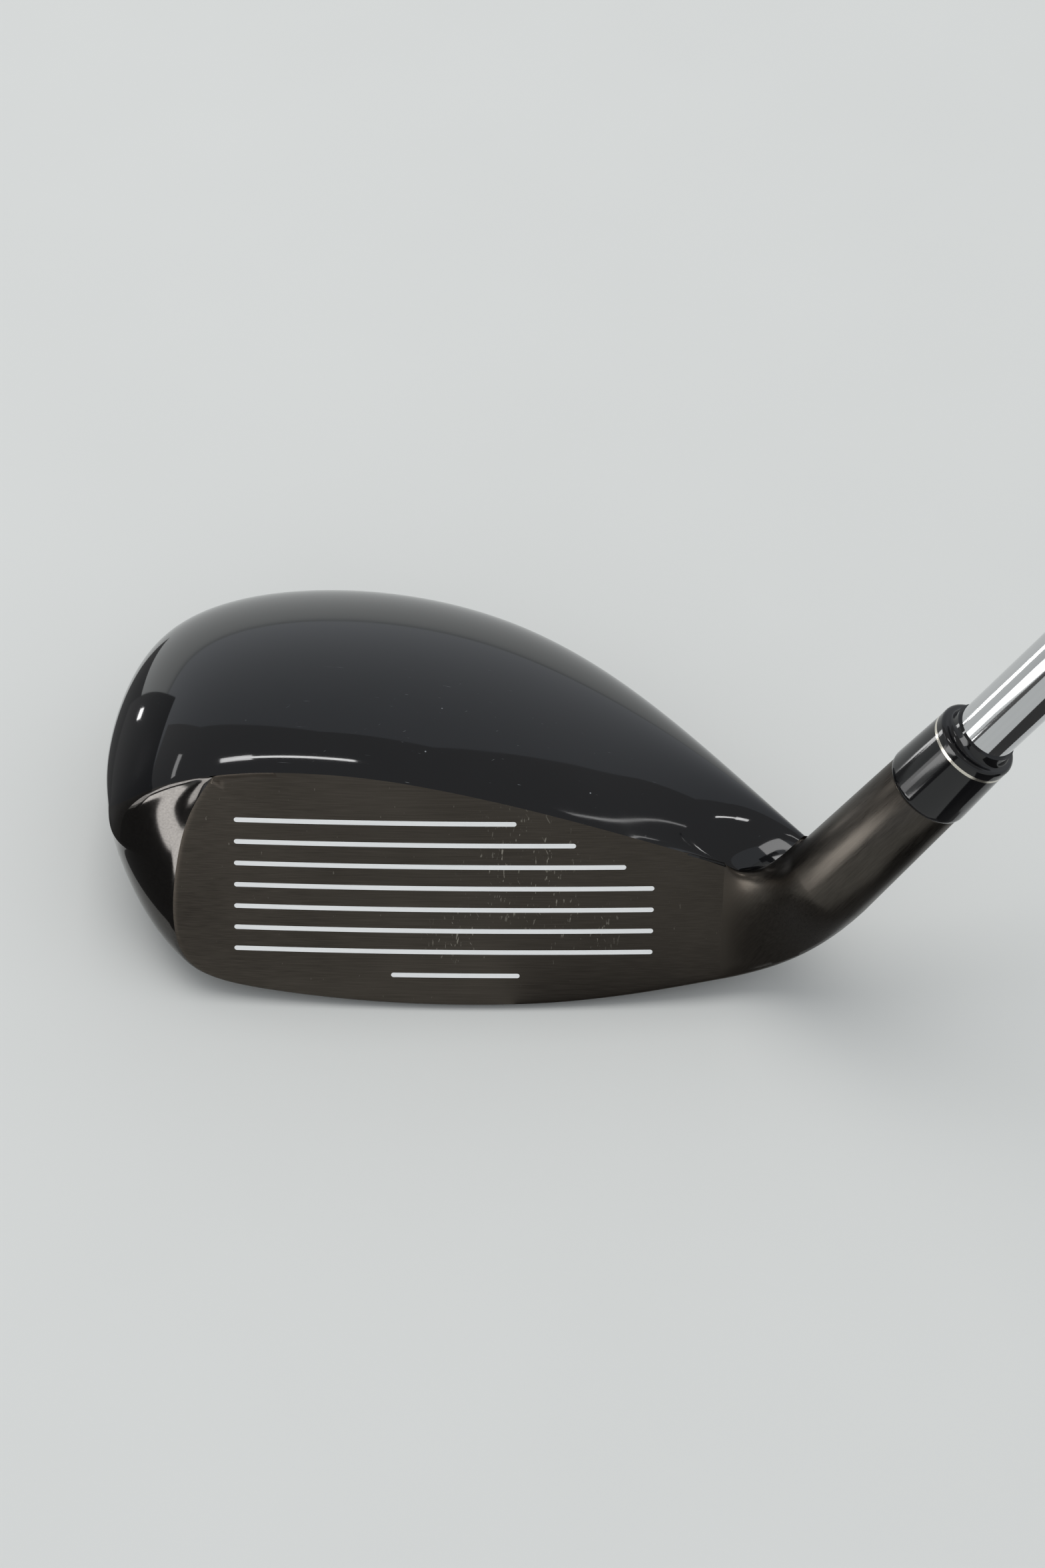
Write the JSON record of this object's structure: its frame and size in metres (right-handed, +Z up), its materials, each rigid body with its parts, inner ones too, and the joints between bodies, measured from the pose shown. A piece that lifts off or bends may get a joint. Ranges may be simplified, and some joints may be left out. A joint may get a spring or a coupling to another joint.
{
  "type": "hybrid golf club",
  "caption": "Right-handed hybrid golf club: a hollow rounded head with a grooved face and a bent neck on a stepped steel shaft with a black ferrule and rubber grip.",
  "frame": {"origin": "where the shaft axis meets the ground with the club soled at address", "axes": "+Z up, +X towards the heel along the ground, +Y away from the ball, with the face towards -Y"},
  "size_m": [0.6328, 0.084, 0.8917],
  "materials": {
    "body_steel": "polished dark steel",
    "neck_steel": "satin dark steel",
    "face_steel": "fine horizontal brushing",
    "score_paint": "matt white paint fill",
    "crown_paint": "gloss black lacquer",
    "weight_metal": "as cast",
    "adhesive": "cured epoxy",
    "ferrule_plastic": "gloss",
    "trim_ring": "polished",
    "shaft_chrome": "bright plated steel",
    "plug_metal": "as turned",
    "tape": "paper tape",
    "grip_rubber": "matt"
  },
  "bodies": {
    "root": {"body": "body_steel", "neck": "neck_steel", "face_plate": "face_steel", "score_lines": "score_paint", "crown": "crown_paint", "sole_weight": "weight_metal", "hosel_glue": "adhesive", "ferrule": "ferrule_plastic", "ferrule_ring": "trim_ring", "ferrule_collar": "ferrule_plastic", "shaft": "shaft_chrome", "tip_plug": "plug_metal", "grip_tape": "tape", "grip": "grip_rubber", "grip_cap": "grip_rubber"}
  },
  "joints": []
}
